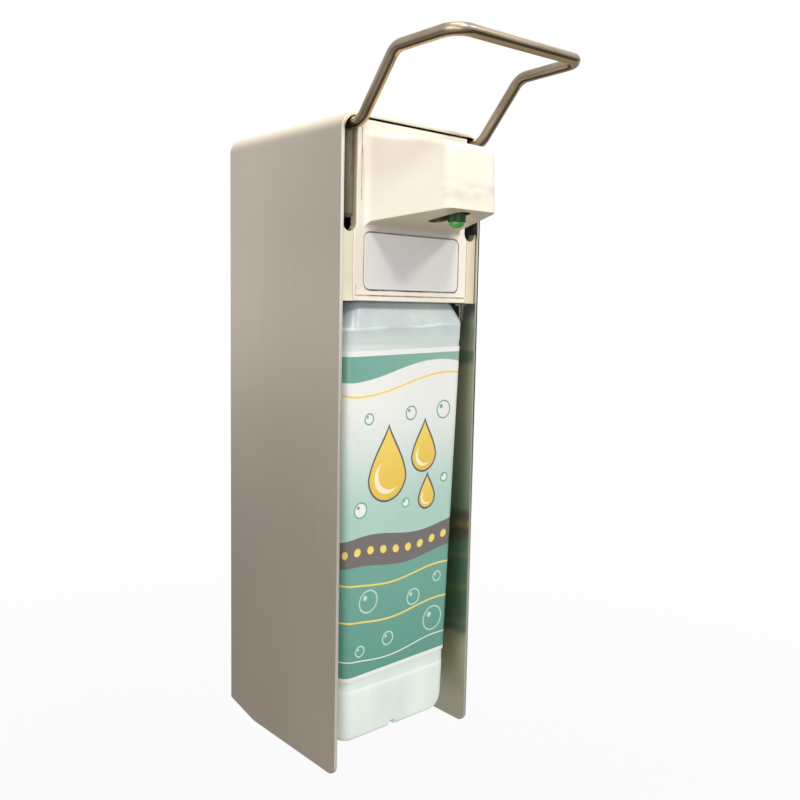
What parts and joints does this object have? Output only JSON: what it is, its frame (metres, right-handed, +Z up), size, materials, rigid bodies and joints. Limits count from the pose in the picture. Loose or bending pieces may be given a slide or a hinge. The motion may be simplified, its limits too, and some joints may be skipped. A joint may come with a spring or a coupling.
{
  "type": "soap dispenser",
  "caption": "Wall-mounted soap dispenser: bent metal casing, elbow lever of bent rod, plastic pump insert with a hooded nozzle, and a large refill bottle.",
  "frame": {"origin": "on the wall face of the back plate, at half the width and half the height of the casing", "axes": "+Z up, the front with the lever and the nozzle faces -Y, the wall is the plane y = 0, +X to the right as seen from the front"},
  "size_m": [0.12, 0.2214, 0.4515],
  "materials": {
    "casing_steel": "satin",
    "plate_steel": "zinc plated, dull",
    "rod_steel": "bright drawn rod, a little warm",
    "dark_steel": "plain",
    "ivory": "smooth moulded, slightly glossy",
    "yellow_ivory": "smooth moulded, a little yellowed",
    "grey_plastic": "smooth",
    "white_plastic": "smooth moulded",
    "milky_plastic": "milky, waxy blow-moulded",
    "label_print": "printed film",
    "black_green": "glossy",
    "green": "glossy",
    "rubber": "matte"
  },
  "bodies": {
    "casing": {"casing_shell": "casing_steel", "back_plate": "plate_steel", "bottle_shelf": "plate_steel", "shelf_rivet_left": "dark_steel", "shelf_rivet_right": "dark_steel", "runner_rail_left": "plate_steel", "runner_rail_right": "plate_steel"},
    "pump_unit": {"carrier": "yellow_ivory", "front_cover": "ivory", "front_plate": "grey_plastic", "cover_screw_left": "dark_steel", "cover_screw_right": "dark_steel", "lever_axle": "dark_steel", "axle_clip_left": "dark_steel", "axle_clip_right": "dark_steel", "bottle": "milky_plastic", "label": "label_print", "pump_collar": "white_plastic", "neck_gasket": "rubber", "pump_cylinder": "white_plastic", "dip_tube": "white_plastic"},
    "lever": {"lever_rod": "rod_steel", "rocker": "grey_plastic", "rod_pin_left_front": "dark_steel", "rod_pin_left_rear": "dark_steel", "rod_pin_right_front": "dark_steel", "rod_pin_right_rear": "dark_steel", "presser_pad": "rubber"},
    "pump_plunger": {"pump_head": "white_plastic", "spout_tube": "rod_steel", "nozzle_ring": "black_green", "nozzle_tip": "green", "piston_stem": "white_plastic", "piston_seal": "rubber", "return_spring": "dark_steel"},
    "inlet_valve": {"inlet_ball": "dark_steel"},
    "outlet_valve": {"outlet_ball": "dark_steel"}
  },
  "joints": [
    {"name": "unit_slide", "type": "slide", "parent": "casing", "child": "pump_unit", "axis": [0, -1, 0], "range_m": [0, 0.09]},
    {"name": "lever_hinge", "type": "hinge", "parent": "pump_unit", "child": "lever", "pos_m": [0, -0.022, 0.195], "axis": [1, 0, 0], "range_deg": [0, 12], "stiffness_Nm_per_rad": 4, "springref_deg": -20.05},
    {"name": "pump_slide", "type": "slide", "parent": "pump_unit", "child": "pump_plunger", "axis": [0, 0, -1], "range_m": [0, 0.0116], "deforming": ["return_spring"]},
    {"name": "inlet_lift", "type": "slide", "parent": "pump_unit", "child": "inlet_valve", "axis": [0, 0, 1], "range_m": [0, 0.0012]},
    {"name": "outlet_lift", "type": "slide", "parent": "pump_plunger", "child": "outlet_valve", "axis": [0, 0, 1], "range_m": [0, 0.0012]}
  ],
  "couplings": [
    {"joint": "pump_slide", "follows": "lever_hinge", "m_per_rad": 0.055}
  ]
}
